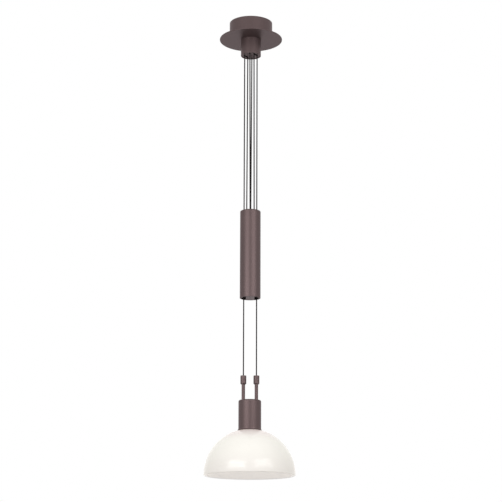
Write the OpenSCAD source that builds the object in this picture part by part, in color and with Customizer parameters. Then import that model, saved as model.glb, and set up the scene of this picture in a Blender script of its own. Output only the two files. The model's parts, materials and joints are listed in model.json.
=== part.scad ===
// Rise and fall pendant. Two cords run from the ceiling rose down to pulleys in a tubular
// counterweight, back up over pulleys in the rose, and down past the counterweight to the
// lamp head, so the lamp moves twice as far as the counterweight, the other way.
// Millimetres, +Z up, origin at the ceiling, in the middle of the rose's mounting face.
// The six runs of cord lie on one circle. Everything is the same after half a turn about Z.

/* [Hanging heights] */
// Gap between the pulley housing and the counterweight
weight_gap = 467.3; // [60:0.1:600]
// Gap between the counterweight and the cord grips
grip_gap = 218.2; // [40:0.1:500]

/* [Ceiling rose] */
// Outer radius of the canopy drum
canopy_r = 62; // [56:0.5:80]
// Height of the canopy drum
canopy_h = 48.6; // [42:0.1:70]
// Sheet thickness of the canopy drum
canopy_wall = 1.2; // [0.8:0.1:2]
// Radius of the flange disc under the drum
flange_r = 90.5; // [70:0.5:120]
// Thickness of the flange disc
flange_t = 2.6; // [1.5:0.1:5]
// Outer radius of the pulley housing
housing_r = 29; // [28:0.5:34]
// Wall of the pulley housing
housing_wall = 2; // [1:0.1:2.5]
// How far the pulley housing stands below the flange
housing_h = 48.3; // [46:0.1:70]
// Radius of the housing's collar and of the load plate that clamps it
collar_r = 44; // [41:0.5:50]
// Thickness of the housing's collar
collar_t = 1.5; // [1:0.1:3]
// Thickness of the load plate
load_plate_t = 3; // [2:0.1:6]
// Radius of the circle of studs that holds the rose together
stud_circle_r = 37; // [35:0.5:38]
// Radius of a stud
stud_r = 2; // [1.5:0.1:2.5]

/* [Ceiling bracket] */
// Width of the bracket's bar
bracket_w = 22; // [18:1:30]
// Thickness of the bracket
bracket_t = 2; // [1.5:0.1:3]
// How far the bracket's ears reach down
ear_h = 20; // [17:1:24]
// Distance between the two ceiling slots
slot_spacing = 60; // [44:1:80]
// Width of a ceiling slot
slot_w = 5.5; // [4:0.1:8]
// Length of a ceiling slot, end to end
slot_l = 12; // [9:0.5:20]
// Radius of the cable inlet
inlet_r = 4; // [3:0.1:5]
// Rubber around the cable inlet
grommet_wall = 2; // [1:0.1:3]
// Depth of the canopy screws below the ceiling
canopy_screw_z = 12; // [8:0.5:14]
// Radius of a canopy screw
canopy_screw_r = 2; // [1.5:0.1:2.5]

/* [Cords and pulleys] */
// Diameter of a cord
cord_d = 3.4; // [2:0.1:3.4]
// Radius of the circle that the six runs of cord lie on
cord_circle_r = 18; // [17.6:0.1:18.6]
// Radius of a rose pulley at the middle of its cord
rose_sheave_r = 9; // [8.6:0.1:9.6]
// Radius of a counterweight pulley at the middle of its cord
weight_sheave_r = 17; // [16.6:0.1:17.2]
// Width of a pulley
sheave_w = 6; // [5:0.1:6.2]
// Gap on each side of a pulley
sheave_gap = 0.35; // [0.2:0.05:0.5]
// Radius of the rose pulleys' axle
rose_axle_r = 2.5; // [2:0.1:3]
// Radius of the counterweight pulleys' axle
weight_axle_r = 3; // [2.5:0.1:3.5]
// Running clearance between a pulley and its axle
running_gap = 0.05; // [0.02:0.01:0.1]
// Turn of the returning run between rose and counterweight, in degrees
return_lean = 5.9; // [0:0.1:8]
// Turn of the anchored run between counterweight and rose, in degrees
anchor_lean = 6.8; // [0:0.1:9]

/* [Counterweight] */
// Outer radius of the counterweight
weight_r = 29; // [28.5:0.5:33]
// Wall of the counterweight's tube
weight_wall = 1.5; // [1:0.1:2]
// Thickness of the tube's closed top
weight_top_t = 2.5; // [1.5:0.1:4]
// Rounding of the top edge
weight_edge_r = 3; // [1.5:0.1:4]
// Height of the whole counterweight
weight_h = 252; // [180:1:320]
// Thickness of the end cap
end_cap_t = 3; // [2:0.1:5]
// Gap between the slug and the end cap
slug_gap = 37; // [6:1:60]
// Width of the channel that a cord runs in, past the slug
channel_w = 14; // [9:0.5:18]
// Distance from the axis to the floor of that channel
channel_x = 12; // [11:0.5:13]

/* [Cord grips] */
// Radius of a grip nut
grip_r = 8.15; // [7:0.05:9]
// Height of a grip nut
grip_h = 24; // [20:0.5:32]
// Radius of a stem under a grip nut
stem_r = 4.8; // [4.4:0.1:5.4]
// Length of a stem between its nut and the lamp cup
stem_h = 44.1; // [20:0.1:90]

/* [Lamp head] */
// Outer radius of the lamp cup
cup_r = 31.25; // [29:0.25:36]
// Height of the lamp cup
cup_h = 82.9; // [76:0.1:110]
// Wall of the lamp cup
cup_wall = 1.5; // [1:0.1:2]
// Rounding of the cup's top edge
cup_edge_r = 4; // [2:0.5:6]
// Radius of the cup's flared lip
lip_r = 33.3; // [31.5:0.1:38]
// Height of the flare
flare_h = 6; // [4:0.5:10]
// Outer radius of the glass shade
shade_r = 125; // [90:1:180]
// Thickness of the glass
glass_t = 4; // [3:0.1:6]
// Straight skirt under the half sphere of glass
shade_skirt = 2; // [0:0.5:20]
// Radius of the shade's fitting hole
fitting_r = 20.5; // [20.2:0.1:21]
// Radius of the lampholder
holder_r = 19.5; // [18:0.1:20]
// Height of the lampholder
holder_h = 52; // [48:1:56]
// Radius of the bulb
bulb_r = 30; // [20:0.5:40]

/* [Hidden] */
$fn = 96;

// colours
BRONZE = [0.40, 0.34, 0.34];
STEEL = [0.72, 0.72, 0.74];
BRASS = [0.80, 0.66, 0.36];
ZINC = [0.60, 0.60, 0.62];
CORD = [0.22, 0.21, 0.21];
IRON = [0.30, 0.30, 0.31];
BLACK = [0.12, 0.12, 0.12];
CERAMIC = [0.93, 0.91, 0.86];
OPAL = [0.97, 0.96, 0.93];
NYLON = [0.88, 0.87, 0.83];

// levels down the lamp
canopy_z = -canopy_h;
flange_z = canopy_z - flange_t;
housing_z = flange_z - housing_h;
weight_top_z = housing_z - weight_gap;
weight_z = weight_top_z - weight_h;
grip_top_z = weight_z - grip_gap;
grip_z = grip_top_z - grip_h;
cup_top_z = grip_z - stem_h;
lip_z = cup_top_z - cup_h;

// fits
slip = 0.1;          // a piece that drops into another of the same body
touch = 0.02;        // between faces that meet, such as a screw and its thread
eps = 1;             // how far a cutter runs past a face
overlap = 0.5;       // how far one form sinks into another of the same piece
cord_r = cord_d / 2;
cord_hole_r = cord_r + 0.25;
cord_way_r = cord_r + 1.5;

// rose: sandwich of drum floor, housing collar and load plate
collar_z = canopy_z + canopy_wall;
load_z = collar_z + collar_t;
load_top_z = load_z + load_plate_t;
canopy_in_r = canopy_r - canopy_wall;
housing_in_r = housing_r - housing_wall;
ear_gap = 0.3;
ear_x = sqrt(canopy_in_r * canopy_in_r - bracket_w * bracket_w / 4) - ear_gap;
nut_af = 2 * stud_r * 1.75;
nut_t = 1.6 * stud_r;
washer_t = 0.8;
stud_out = 1;
flange_edge_r = 0.8;

// pulleys: each turns in an upright plane that cuts the cord circle where its two runs are
rose_half = asin(rose_sheave_r / cord_circle_r);
weight_half = asin(weight_sheave_r / cord_circle_r);
rose_off = cord_circle_r * cos(rose_half);
weight_off = cord_circle_r * cos(weight_half);
lamp_a = 180;
return_rose_a = lamp_a - 2 * rose_half;
return_weight_a = return_rose_a + return_lean;
anchor_weight_a = return_weight_a + 2 * weight_half;
anchor_rose_a = anchor_weight_a - anchor_lean;
rose_turn = lamp_a - rose_half - 180;
weight_turn = return_weight_a + weight_half - 180;
groove_gap = 0.15;
groove_flare = 0.55;
rim_lip = 0.6;
hub_wall = 2.2;
web_dip = 0.8;
rose_rim_r = rose_sheave_r + cord_r + rim_lip;
weight_rim_r = weight_sheave_r + cord_r + rim_lip;
plate_t = 3;
plate_inset = 1;
plate_top_z = housing_z + plate_inset + plate_t;
rose_axle_z = plate_top_z + rose_rim_r + 9;
rose_reach = rose_off + sheave_w / 2 + sheave_gap;
clip_t = 0.8;
clip_w = 2;
groove_deep = 0.5;
axle_end = 1;

// pulley block, in a frame turned by rose_turn
block_x = rose_off - sheave_w / 2 - sheave_gap;
block_y = 21.5;
block_corner_r = housing_in_r - 1.5;
block_z = rose_axle_z - rose_axle_r - 4;
pillar_r = 6;
block_screw_r = 2;
block_screw_y = 8.5;
block_screw_l = 12;
ferrule_r = 3.2;
ferrule_h = 9;
ferrule_z = load_z - ferrule_h - 3;
plate_screw_r = 1.5;
plate_screw_l = 10;

// terminal block, in a frame turned so that a pole faces each anchored cord
pole_pitch = 8;
terminal_turn = anchor_rose_a - 180 - acos(pole_pitch / cord_circle_r);
tail_y = sqrt(cord_circle_r * cord_circle_r - pole_pitch * pole_pitch);
terminal_l = 3 * pole_pitch + 6;
terminal_w = 17;
terminal_h = 14;
sleeve_r = 2.9;
sleeve_bore_r = cord_r + 0.25;
sleeve_z = load_top_z + 8;
sleeve_end = 1;
tail_in = 4;
tail_bend_r = 7;
term_screw_r = 1.4;
term_screw_y = 4.6;
term_head_r = 2.1;
term_head_t = 1.6;
term_up = 0.2;
slit_w = 1.2;
slit_deep = 2.5;

// counterweight
tube_in_r = weight_r - weight_wall;
spigot_h = 4;
cap_top_z = weight_z + end_cap_t;
slug_r = tube_in_r - slip;
weight_axle_z = weight_top_z - weight_top_t - weight_rim_r - 2.5;
yoke_floor_z = weight_axle_z - weight_rim_r - 2.5;
yoke_base_t = 5;
slug_top_z = yoke_floor_z - yoke_base_t;
slug_z = cap_top_z + spigot_h + slug_gap;
cheek_x = weight_off + sheave_w / 2 + sheave_gap;
cheek_t = 3;
cheek_r = 8;
weight_reach = cheek_x + cheek_t + slip;
yoke_screw_r = 2;
yoke_screw_y = 20;
yoke_screw_l = 14;
window_r = tube_in_r - 2.5;
post_r = 4.5;
cap_edge_r = min(0.8, end_cap_t / 3);
cap_screw_r = 2;
cap_screw_y = 17;
cap_screw_in = 12;

// cord grips and stems
foot_chamfer = 1.6;
top_chamfer = 0.6;
cone_gap = 0.4;
nut_bore_z = grip_top_z - 9;
stem_top_z = nut_bore_z - 0.3;
collet_r = 3.2;
collet_in = 6;
collet_out = 4.2;
collet_tip_r = 2.2;
collet_top_z = stem_top_z + collet_out;
collet_slit = 0.5;
tail_top_z = collet_top_z - 0.2;
spigot_r = 3;
stem_nut_af = 10;
stem_nut_t = 4;
holder_bracket_t = 2;
holder_bracket_w = 13;
bar_end = 1;
cup_floor_z = cup_top_z - cup_wall;
bracket_z = cup_floor_z - holder_bracket_t;
stem_nut_z = bracket_z - stem_nut_t;
stem_z = stem_nut_z - 3;

// lamp head, built up from where the inner edge of the cup's lip meets the glass
lip_gap = 0.5;
lip_edge = 0.8;
flare_steps = 6;
lip_in_r = lip_r - cup_wall;
shade_z = lip_z - lip_gap - sqrt(shade_r * shade_r - lip_in_r * lip_in_r);
shade_in_r = shade_r - glass_t;
rim_z = shade_z - shade_skirt;
fitting_top_z = shade_z + sqrt(shade_r * shade_r - fitting_r * fitting_r);
ring_r = 27.5;
ring_t = 6;
ring_brim_t = 1.5;
notch_r = 1.5;
seat_gap = 0.3;
collar_brim = 6;
ring_top_z = shade_z + sqrt(shade_in_r * shade_in_r - ring_r * ring_r) - seat_gap;
ring_z = ring_top_z - ring_t;
holder_z = ring_z - 1;
holder_top_z = holder_z + holder_h;
holder_wall = 2.4;
holder_bore_r = 13.9;
holder_floor_z = holder_z + 32;
cap_h = 14;
cap_top_r = 14;
cap_roof_t = 5;
cap_shoulder = 2;
terminal_deep = 6;
terminal_up = 5;
terminal_wall = 1.4;
tongue_t = 0.8;
holder_cap_z = holder_top_z + cap_h;
nipple_r = 5;
nipple_bore_r = 3.5;
nipple_in = 6;
nipple_nut_af = 14;
nipple_nut_t = 3;
bulb_base_r = 13.2;
bulb_base_h = 25;
bulb_wall = 1;
bulb_neck_r = 13.4;
bulb_tip_r = 4;
bulb_in = 6;
base_cone_h = 6;
tip_gap = 0.4;
bulb_base_top_z = holder_floor_z - 2.6;
bulb_base_z = bulb_base_top_z - bulb_base_h;
bulb_neck_h = 15;
bulb_z = bulb_base_z - bulb_neck_h - bulb_r;
lead_x = 9.5;

// ---- helpers ----

function polar(r, a) = [r * cos(a), r * sin(a)];

module at(p, z = 0) {
    translate([p[0], p[1], z]) children();
}

module post(r, z0, z1) {
    translate([0, 0, z0]) cylinder(r = r, h = z1 - z0);
}

module ring(r_out, r_in, z0, z1) {
    difference() {
        post(r_out, z0, z1);
        post(r_in, z0 - eps, z1 + eps);
    }
}

module both_sides() {
    children();
    rotate([0, 0, 180]) children();
}

// a slot with round ends, along X, cut from z0 to z1
module slot(length, width, z0, z1) {
    reach = (length - width) / 2;
    for (side = [-1, 1]) at([side * reach, 0]) post(width / 2, z0, z1);
    translate([-reach, -width / 2, z0]) cube([2 * reach, width, z1 - z0]);
}

// puts a shape drawn around Z onto a level axle that points towards angle a
module on_axle(a, along, z) {
    at(polar(along, a), z) rotate([0, 0, a]) rotate([0, 90, 0]) children();
}

module hex_nut(across_flats, hole_r, z0, z1) {
    difference() {
        translate([0, 0, z0]) cylinder(r = across_flats / 2 / cos(30), h = z1 - z0, $fn = 6);
        post(hole_r, z0 - eps, z1 + eps);
    }
}

// screw with a cheese head, pointing down, its seat at z = 0
module cheese_screw(r, length, head_r, head_t) {
    difference() {
        union() {
            post(r, -length, 0.5 * head_t);
            post(head_r, 0, head_t);
        }
        translate([-head_r, -head_r / 8, head_t * 0.55]) cube([2 * head_r, head_r / 4, head_t]);
    }
}

// screw with a countersunk head, pointing down, the top of its head at z = 0
module flush_screw(r, length) {
    difference() {
        union() {
            post(r, -length, -r / 2);
            translate([0, 0, -r]) cylinder(r1 = r, r2 = 2 * r, h = r);
        }
        translate([-2 * r, -r / 4, -r / 2]) cube([4 * r, r / 2, r]);
    }
}

module flush_hole(r, depth) {
    post(r, -depth, eps);
    translate([0, 0, -r]) cylinder(r1 = r, r2 = 2 * r, h = r);
}

// straight run of cord between two points of the cord circle
module cord_run(a_top, z_top, a_low, z_low) {
    top = polar(cord_circle_r, a_top);
    low = polar(cord_circle_r, a_low);
    dx = top[0] - low[0];
    dy = top[1] - low[1];
    dz = z_top - z_low - 2 * touch;
    side = norm([dx, dy]);
    at(low, z_low + touch)
        rotate([0, 0, atan2(dy, dx)]) rotate([0, atan2(side, dz), 0])
            cylinder(r = cord_r, h = norm([side, dz]));
}

// ---- pulleys and their cords ----

// grooved pulley around Z, with a dished web that may have a circle of holes
module sheave(pitch_r, axle_r, holes = 0) {
    bore_r = axle_r + running_gap;
    hub_r = axle_r + hub_wall;
    web_r = pitch_r - 2 * cord_r + rim_lip;
    rim_r = pitch_r + cord_r + rim_lip;
    groove_r = cord_r + groove_gap;
    mouth_r = groove_r + groove_flare;
    difference() {
        rotate_extrude() difference() {
            translate([bore_r, -sheave_w / 2]) square([rim_r - bore_r, sheave_w]);
            translate([pitch_r, 0]) circle(r = groove_r, $fn = 48);
            polygon([
                [pitch_r, -groove_r], [rim_r + eps, -mouth_r],
                [rim_r + eps, mouth_r], [pitch_r, groove_r]
            ]);
            for (face = [0, 1]) mirror([0, face]) translate([hub_r, sheave_w / 2 - web_dip])
                square([web_r - hub_r, web_dip + eps]);
        }
        for (i = [0 : 1 : holes - 1]) rotate([0, 0, i * 360 / holes])
            at([(hub_r + web_r) / 2, 0]) post((web_r - hub_r) / 4, -sheave_w, sheave_w);
    }
}

module rose_sheave_left() {
    color(NYLON) on_axle(180 + rose_turn, rose_off, rose_axle_z)
        sheave(rose_sheave_r, rose_axle_r);
}

module rose_sheave_right() {
    rotate([0, 0, 180]) rose_sheave_left();
}

module weight_sheave_left() {
    color(NYLON) on_axle(180 + weight_turn, weight_off, weight_axle_z)
        sheave(weight_sheave_r, weight_axle_r, holes = 6);
}

module weight_sheave_right() {
    rotate([0, 0, 180]) weight_sheave_left();
}

// half a turn of cord on a pulley, over its top or under it
module bend(a, along, z, pitch_r, over) {
    on_axle(a, along, z) rotate([0, 0, over ? 90 : -90])
        rotate_extrude(angle = 180) translate([pitch_r, 0]) circle(r = cord_r, $fn = 48);
}

module rose_bends() {
    color(CORD) both_sides() bend(180 + rose_turn, rose_off, rose_axle_z, rose_sheave_r, true);
}

module weight_bends() {
    color(CORD) both_sides()
        bend(180 + weight_turn, weight_off, weight_axle_z, weight_sheave_r, false);
}

module anchor_fall_left() {
    color(CORD) cord_run(anchor_rose_a, block_z, anchor_weight_a, weight_axle_z);
}

module anchor_fall_right() {
    rotate([0, 0, 180]) anchor_fall_left();
}

module return_fall_left() {
    color(CORD) cord_run(return_rose_a, rose_axle_z, return_weight_a, weight_axle_z);
}

module return_fall_right() {
    rotate([0, 0, 180]) return_fall_left();
}

module lamp_fall_left() {
    color(CORD) cord_run(lamp_a, rose_axle_z, lamp_a, tail_top_z);
}

module lamp_fall_right() {
    rotate([0, 0, 180]) lamp_fall_left();
}

// the anchored end goes up through the block and bends over into the terminal block
module anchor_tails() {
    turn_z = sleeve_z - tail_bend_r;
    color(CORD) both_sides() rotate([0, 0, terminal_turn])
        translate([-pole_pitch, -tail_y, 0]) {
            post(cord_r, block_z, turn_z);
            translate([0, tail_bend_r, turn_z]) rotate([0, 0, 90]) rotate([90, 0, 0])
                rotate([0, 0, 90]) rotate_extrude(angle = 90)
                    translate([tail_bend_r, 0]) circle(r = cord_r, $fn = 48);
            translate([0, tail_bend_r, sleeve_z]) rotate([-90, 0, 0])
                cylinder(r = cord_r, h = tail_y - tail_bend_r - terminal_w / 2 + tail_in);
        }
}

// ---- ceiling rose ----

module ceiling_bracket() {
    color(STEEL) difference() {
        union() {
            translate([-ear_x, -bracket_w / 2, -bracket_t])
                cube([2 * ear_x, bracket_w, bracket_t]);
            both_sides() translate([ear_x - bracket_t, -bracket_w / 2, -ear_h])
                cube([bracket_t, bracket_w, ear_h]);
        }
        both_sides() {
            at([slot_spacing / 2, 0]) slot(slot_l, slot_w, -bracket_t - eps, eps);
            translate([ear_x, 0, -canopy_screw_z]) rotate([0, 90, 0])
                post(canopy_screw_r + touch, -2 * bracket_t, 2 * bracket_t);
        }
        post(inlet_r + grommet_wall, -bracket_t - eps, eps);
    }
}

module inlet_grommet() {
    color(BLACK) difference() {
        union() {
            post(inlet_r + grommet_wall, -bracket_t, 0);
            post(inlet_r + 2 * grommet_wall, -bracket_t - grommet_wall, -bracket_t);
        }
        post(inlet_r, -2 * bracket_t - 2 * grommet_wall, eps);
    }
}

// headless screws, turned outwards through the ears until they fill the holes in the drum
module canopy_screws() {
    deep = 0.8 * canopy_screw_r;
    color(BRONZE) both_sides() translate([canopy_r, 0, -canopy_screw_z]) rotate([0, 90, 0])
        difference() {
            post(canopy_screw_r, ear_x - canopy_r - 2 * bracket_t, 0);
            translate([-canopy_screw_r - eps, -deep / 4, -deep])
                cube([2 * (canopy_screw_r + eps), deep / 2, deep + eps]);
        }
}

module at_studs() {
    for (a = [90, 210, 330]) at(polar(stud_circle_r, a)) children();
}

module stud_holes(z0, z1) {
    at_studs() post(stud_r + slip, z0, z1);
}

module canopy_drum() {
    color(BRONZE) difference() {
        post(canopy_r, canopy_z, 0);
        post(canopy_in_r, collar_z, eps);
        post(housing_r + slip, canopy_z - eps, 0);
        stud_holes(canopy_z - eps, 0);
        both_sides() translate([canopy_r, 0, -canopy_screw_z]) rotate([0, 90, 0])
            post(canopy_screw_r + slip, -3 * canopy_wall, 3 * canopy_wall);
    }
}

module canopy_flange() {
    edge = min(flange_edge_r, flange_t / 3);
    stud_top_z = load_top_z + washer_t + nut_t + stud_out;
    color(BRONZE) {
        difference() {
            rotate_extrude() {
                translate([0, flange_z]) square([flange_r - edge, flange_t]);
                translate([0, flange_z + edge]) square([flange_r, flange_t - 2 * edge]);
                for (z = [flange_z + edge, canopy_z - edge])
                    translate([flange_r - edge, z]) circle(r = edge, $fn = 32);
            }
            post(housing_r + slip, flange_z - eps, canopy_z + eps);
        }
        at_studs() post(stud_r, canopy_z - overlap, stud_top_z);
    }
}

module flange_nuts() {
    color(STEEL) at_studs() {
        ring(2.2 * stud_r, stud_r + touch, load_top_z, load_top_z + washer_t);
        hex_nut(nut_af, stud_r + touch, load_top_z + washer_t, load_top_z + washer_t + nut_t);
    }
}

module pulley_housing() {
    color(BRONZE) difference() {
        union() {
            post(housing_r, housing_z, collar_z);
            post(collar_r, collar_z, load_z);
        }
        post(housing_in_r, housing_z - eps, load_z + eps);
        stud_holes(collar_z - eps, load_z + eps);
    }
}

module load_plate() {
    color(STEEL) difference() {
        post(collar_r, load_z, load_top_z);
        stud_holes(load_z - eps, load_top_z + eps);
        both_sides() {
            at(polar(cord_circle_r, anchor_rose_a)) post(cord_hole_r, load_z - eps, load_top_z + eps);
            rotate([0, 0, rose_turn]) at([0, block_screw_y], load_top_z)
                flush_hole(block_screw_r + slip, load_plate_t + eps);
        }
    }
}

module pulley_block() {
    color(ZINC) difference() {
        union() {
            intersection() {
                rotate([0, 0, rose_turn]) translate([-block_x, -block_y, block_z])
                    cube([2 * block_x, 2 * block_y, load_z - block_z]);
                post(block_corner_r, block_z - eps, load_z + eps);
            }
            post(pillar_r, plate_top_z, block_z + eps);
        }
        on_axle(rose_turn, 0, rose_axle_z)
            post(rose_axle_r + touch, -cord_circle_r, cord_circle_r);
        both_sides() {
            at(polar(cord_circle_r, anchor_rose_a)) {
                post(cord_hole_r, block_z - eps, load_z + eps);
                post(ferrule_r + slip, ferrule_z, load_z + eps);
            }
            rotate([0, 0, rose_turn]) at([0, block_screw_y])
                post(block_screw_r + touch, load_z - block_screw_l, load_z + eps);
        }
        post(plate_screw_r + touch, plate_top_z - eps, plate_top_z + plate_screw_l);
    }
}

module block_screws() {
    color(STEEL) both_sides() rotate([0, 0, rose_turn]) at([0, block_screw_y], load_top_z)
        flush_screw(block_screw_r, load_plate_t + block_screw_l - 2);
}

module cord_ferrules() {
    color(BRASS) both_sides() at(polar(cord_circle_r, anchor_rose_a))
        ring(ferrule_r, cord_r + touch, ferrule_z, ferrule_z + ferrule_h);
}

// pin with a groove for a clip near each end
module axle(r, reach) {
    difference() {
        post(r, -reach - clip_t - axle_end, reach + clip_t + axle_end);
        for (side = [-1, 1])
            translate([0, 0, side * (reach + clip_t / 2)])
                ring(r + eps, r - groove_deep, -clip_t / 2 - touch, clip_t / 2 + touch);
    }
}

// open spring clips in the grooves of an axle
module clips(r, reach) {
    for (side = [-1, 1])
        translate([0, 0, side * (reach + clip_t / 2)]) difference() {
            ring(r + clip_w, r - groove_deep + touch, -clip_t / 2, clip_t / 2);
            translate([0, -0.6 * r, -clip_t]) cube([2 * r + clip_w, 1.2 * r, 2 * clip_t]);
        }
}

module rose_axle() {
    color(STEEL) on_axle(rose_turn, 0, rose_axle_z) axle(rose_axle_r, rose_reach);
}

module rose_axle_clips() {
    color(IRON) on_axle(rose_turn, 0, rose_axle_z) clips(rose_axle_r, rose_reach);
}

module end_plate() {
    z0 = housing_z + plate_inset;
    color(BRONZE) difference() {
        post(housing_in_r - slip, z0, plate_top_z);
        both_sides() {
            rotate([0, 0, rose_turn]) at([rose_off, 0]) rotate([0, 0, 90])
                slot(2 * (rose_sheave_r + cord_way_r), 2 * cord_way_r, z0 - eps, plate_top_z + eps);
            at(polar(cord_circle_r, anchor_rose_a)) post(cord_way_r, z0 - eps, plate_top_z + eps);
        }
        translate([0, 0, z0]) mirror([0, 0, 1]) flush_hole(plate_screw_r + slip, plate_t + eps);
    }
}

module end_plate_screw() {
    color(BRONZE) translate([0, 0, housing_z + plate_inset]) mirror([0, 0, 1])
        flush_screw(plate_screw_r, plate_t + plate_screw_l - 2);
}

module in_terminal() {
    rotate([0, 0, terminal_turn]) children();
}

module at_poles() {
    for (i = [-1, 0, 1]) translate([i * pole_pitch, 0, sleeve_z]) children();
}

module terminal_block() {
    color(CERAMIC) in_terminal() difference() {
        translate([-terminal_l / 2, -terminal_w / 2, load_top_z])
            cube([terminal_l, terminal_w, terminal_h]);
        at_poles() {
            rotate([90, 0, 0]) post(sleeve_r + touch, -terminal_w, terminal_w);
            for (side = [-1, 1]) translate([0, side * term_screw_y, 0])
                post(term_head_r + slip, 0, terminal_h);
        }
        both_sides() translate([pole_pitch / 2, 0, load_top_z + terminal_h])
            cube([slit_w, terminal_w + eps, 2 * slit_deep], center = true);
    }
}

module terminal_sleeves() {
    color(BRASS) in_terminal() at_poles() difference() {
        rotate([90, 0, 0]) ring(sleeve_r, sleeve_bore_r, sleeve_end - terminal_w / 2,
            terminal_w / 2 - sleeve_end);
        for (side = [-1, 1]) translate([0, side * term_screw_y, 0])
            post(term_screw_r + touch, 0, 2 * sleeve_r);
    }
}

module terminal_screws() {
    color(STEEL) in_terminal() at_poles() for (side = [-1, 1])
        translate([0, side * term_screw_y, sleeve_r + term_up])
            cheese_screw(term_screw_r, sleeve_r + term_up - cord_r - touch, term_head_r, term_head_t);
}

// ---- counterweight ----

module weight_tube() {
    e = weight_edge_r;
    under_top_z = weight_top_z - weight_top_t;
    color(BRONZE) difference() {
        rotate_extrude() {
            translate([0, cap_top_z]) square([weight_r, weight_top_z - e - cap_top_z]);
            translate([0, cap_top_z]) square([weight_r - e, weight_top_z - cap_top_z]);
            translate([weight_r - e, weight_top_z - e]) circle(r = e, $fn = 64);
        }
        post(tube_in_r, cap_top_z - eps, under_top_z - e);
        post(tube_in_r - e + weight_wall, cap_top_z - eps, under_top_z);
        both_sides() for (a = [lamp_a, return_weight_a, anchor_weight_a])
            at(polar(cord_circle_r, a)) post(cord_way_r, under_top_z - eps, weight_top_z + eps);
    }
}

module weight_yoke() {
    color(ZINC) difference() {
        union() {
            post(slug_r, slug_top_z, yoke_floor_z);
            both_sides() on_axle(weight_turn, cheek_x, weight_axle_z) linear_extrude(cheek_t) {
                circle(r = cheek_r);
                translate([0, -cheek_r])
                    square([weight_axle_z - yoke_floor_z + overlap, 2 * cheek_r]);
            }
        }
        on_axle(weight_turn, 0, weight_axle_z) post(weight_axle_r + touch, -slug_r, slug_r);
        both_sides() {
            at([cord_circle_r, 0]) post(cord_way_r, slug_top_z - eps, yoke_floor_z + eps);
            rotate([0, 0, weight_turn]) at([0, yoke_screw_y], yoke_floor_z)
                flush_hole(yoke_screw_r + slip, yoke_base_t + eps);
        }
    }
}

module yoke_screws() {
    color(STEEL) both_sides() rotate([0, 0, weight_turn]) at([0, yoke_screw_y], yoke_floor_z)
        flush_screw(yoke_screw_r, yoke_base_t + yoke_screw_l - 2);
}

module weight_axle() {
    color(STEEL) on_axle(weight_turn, 0, weight_axle_z) axle(weight_axle_r, weight_reach);
}

module weight_axle_clips() {
    color(IRON) on_axle(weight_turn, 0, weight_axle_z) clips(weight_axle_r, weight_reach);
}

module axle_spacer() {
    half = weight_off - sheave_w / 2 - sheave_gap;
    color(BRASS) on_axle(weight_turn, 0, weight_axle_z)
        ring(weight_axle_r + 2, weight_axle_r + touch, -half, half);
}

module weight_slug() {
    color(IRON) difference() {
        post(slug_r, slug_z, slug_top_z);
        both_sides() {
            translate([channel_x, -channel_w / 2, slug_z - eps])
                cube([weight_r, channel_w, slug_top_z - slug_z + 2 * eps]);
            at([0, cap_screw_y]) post(cap_screw_r + touch, slug_z - eps, slug_z + cap_screw_in);
            rotate([0, 0, weight_turn]) at([0, yoke_screw_y])
                post(yoke_screw_r + touch, slug_top_z - yoke_screw_l, slug_top_z + eps);
        }
    }
}

// closes the tube, with a window on each side for a cord, and hangs on the slug by two posts
module weight_end_cap() {
    color(BRONZE) difference() {
        union() {
            rotate_extrude() {
                translate([0, weight_z]) square([weight_r - cap_edge_r, end_cap_t]);
                translate([0, weight_z + cap_edge_r]) square([weight_r, end_cap_t - cap_edge_r]);
                translate([weight_r - cap_edge_r, weight_z + cap_edge_r]) circle(r = cap_edge_r, $fn = 32);
            }
            ring(tube_in_r - slip, window_r, cap_top_z - overlap, cap_top_z + spigot_h);
            both_sides() at([0, cap_screw_y]) post(post_r, cap_top_z - overlap, slug_z);
        }
        both_sides() {
            intersection() {
                post(window_r, weight_z - eps, cap_top_z + eps);
                translate([channel_x, -weight_r, weight_z - 2 * eps])
                    cube([weight_r, 2 * weight_r, end_cap_t + 4 * eps]);
            }
            at([0, cap_screw_y], weight_z) mirror([0, 0, 1])
                flush_hole(cap_screw_r + slip, slug_z - weight_z + eps);
        }
    }
}

module end_cap_screws() {
    color(BRONZE) both_sides() at([0, cap_screw_y], weight_z) mirror([0, 0, 1])
        flush_screw(cap_screw_r, slug_z - weight_z + cap_screw_in - 2);
}

// ---- cord grips and stems ----

module grip_nut_left() {
    color(BRONZE) at([-cord_circle_r, 0]) difference() {
        rotate_extrude() polygon([
            [0, grip_z], [grip_r - foot_chamfer, grip_z], [grip_r, grip_z + foot_chamfer],
            [grip_r, grip_top_z - top_chamfer], [grip_r - top_chamfer, grip_top_z], [0, grip_top_z]
        ]);
        post(stem_r + running_gap, grip_z - eps, nut_bore_z);
        translate([0, 0, nut_bore_z - touch])
            cylinder(r1 = collet_r + cone_gap, r2 = collet_tip_r + cone_gap, h = collet_out + cone_gap);
        post(cord_hole_r + cone_gap / 2, grip_z, grip_top_z + eps);
    }
}

module grip_nut_right() {
    rotate([0, 0, 180]) grip_nut_left();
}

module grip_collets() {
    color(BRASS) both_sides() at([-cord_circle_r, 0]) difference() {
        union() {
            post(collet_r, stem_top_z - collet_in, stem_top_z + overlap);
            translate([0, 0, stem_top_z + overlap])
                cylinder(r1 = collet_r, r2 = collet_tip_r, h = collet_out - overlap);
        }
        post(cord_r + touch, stem_top_z - collet_in - eps, collet_top_z + eps);
        for (a = [45, 135]) rotate([0, 0, a])
            translate([-collet_r - eps, -collet_slit / 2, stem_top_z - collet_in / 2])
                cube([2 * collet_r + 2 * eps, collet_slit, collet_in + collet_out]);
    }
}

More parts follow.
